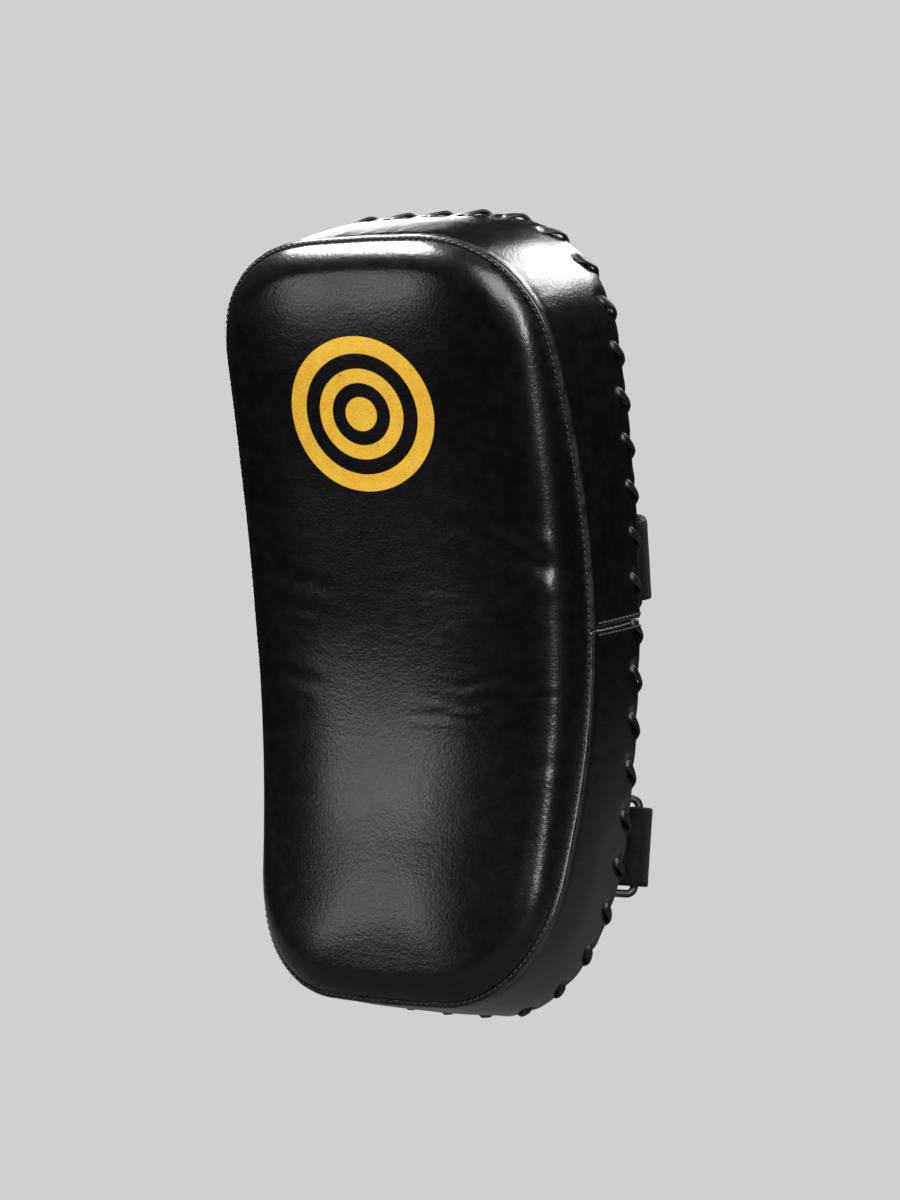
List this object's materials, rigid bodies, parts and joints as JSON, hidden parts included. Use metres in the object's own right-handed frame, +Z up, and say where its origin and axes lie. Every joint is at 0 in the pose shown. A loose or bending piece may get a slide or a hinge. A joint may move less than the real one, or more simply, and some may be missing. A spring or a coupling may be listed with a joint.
{
  "type": "thai pad",
  "caption": "Curved leather Thai pad with a foam filling, whip-laced rim, hinged hand grip, forearm cushion and two ring-and-hook-and-loop forearm straps.",
  "frame": {"origin": "centre of the flat part of the forearm cushion's face, on the back of the pad", "axes": "+Y out of the cushion's flat face, away from the pad; -Y is the side that is struck; +Z up the pad toward the hand grip; +X to the right as seen by the person who strikes"},
  "size_m": [0.1986, 0.1858, 0.4135],
  "materials": {
    "shell_leather": "black semi-gloss fine-grain leather",
    "trim_leather": "black satin leather, cut edges",
    "lace_leather": "black leather lace, satin",
    "foam": "grey closed-cell and reground foam, matt",
    "strap_webbing": "black woven webbing, matt",
    "hook_and_loop": "black hook-and-loop tape, very matt",
    "ring_plastic": "black moulded plastic, satin",
    "rivet_steel": "nickel-plated steel rivets, lightly worn"
  },
  "bodies": {
    "pad": {"front_panel": "shell_leather", "gusset_upper": "shell_leather", "gusset_lower": "shell_leather", "back_panel": "shell_leather", "rim_lace": "lace_leather", "front_foam": "foam", "middle_foam": "foam", "rear_foam": "foam", "forearm_cover": "shell_leather", "forearm_foam": "foam", "grip_tab_left": "trim_leather", "grip_tab_right": "trim_leather", "grip_rivet_left_lower": "rivet_steel", "grip_rivet_left_upper": "rivet_steel", "grip_rivet_right_lower": "rivet_steel", "grip_rivet_right_upper": "rivet_steel", "lower_ring_tab": "trim_leather", "lower_strap": "strap_webbing", "lower_loop_patch": "hook_and_loop", "strap_rivet_lower_a": "rivet_steel", "strap_rivet_lower_b": "rivet_steel", "ring_rivet_lower_a": "rivet_steel", "ring_rivet_lower_b": "rivet_steel", "upper_ring_tab": "trim_leather", "upper_strap": "strap_webbing", "upper_loop_patch": "hook_and_loop", "strap_rivet_upper_a": "rivet_steel", "strap_rivet_upper_b": "rivet_steel", "ring_rivet_upper_a": "rivet_steel", "ring_rivet_upper_b": "rivet_steel"},
    "grip": {"grip_strap": "trim_leather", "grip_core": "foam", "grip_sleeve": "trim_leather"},
    "lower_ring": {"lower_ring": "ring_plastic", "lower_strap_turn": "strap_webbing"},
    "lower_flap": {"lower_strap_flap": "strap_webbing", "lower_hook_patch": "hook_and_loop"},
    "upper_ring": {"upper_ring": "ring_plastic", "upper_strap_turn": "strap_webbing"},
    "upper_flap": {"upper_strap_flap": "strap_webbing", "upper_hook_patch": "hook_and_loop"}
  },
  "joints": [
    {"name": "grip_swing", "type": "hinge", "parent": "pad", "child": "grip", "pos_m": [0, -0.01522, 0.11722], "axis": [1, 0, 0], "range_deg": [-15, 15], "stiffness_Nm_per_rad": 4},
    {"name": "lower_ring_swing", "type": "hinge", "parent": "pad", "child": "lower_ring", "pos_m": [0.068, -0.01908, -0.11837], "axis": [0, -0.2249, -0.9744], "range_deg": [0, 12]},
    {"name": "lower_flap_peel", "type": "hinge", "parent": "lower_ring", "child": "lower_flap", "pos_m": [0.08722, -0.00188, -0.12234], "axis": [0, -0.2249, -0.9744], "range_deg": [0, 100]},
    {"name": "upper_ring_swing", "type": "hinge", "parent": "pad", "child": "upper_ring", "pos_m": [0.068, -0.00589, 0.02208], "axis": [0, 0.0262, -0.9997], "range_deg": [0, 12]},
    {"name": "upper_flap_peel", "type": "hinge", "parent": "upper_ring", "child": "upper_flap", "pos_m": [0.08722, 0.01175, 0.02255], "axis": [0, 0.0262, -0.9997], "range_deg": [0, 100]}
  ]
}
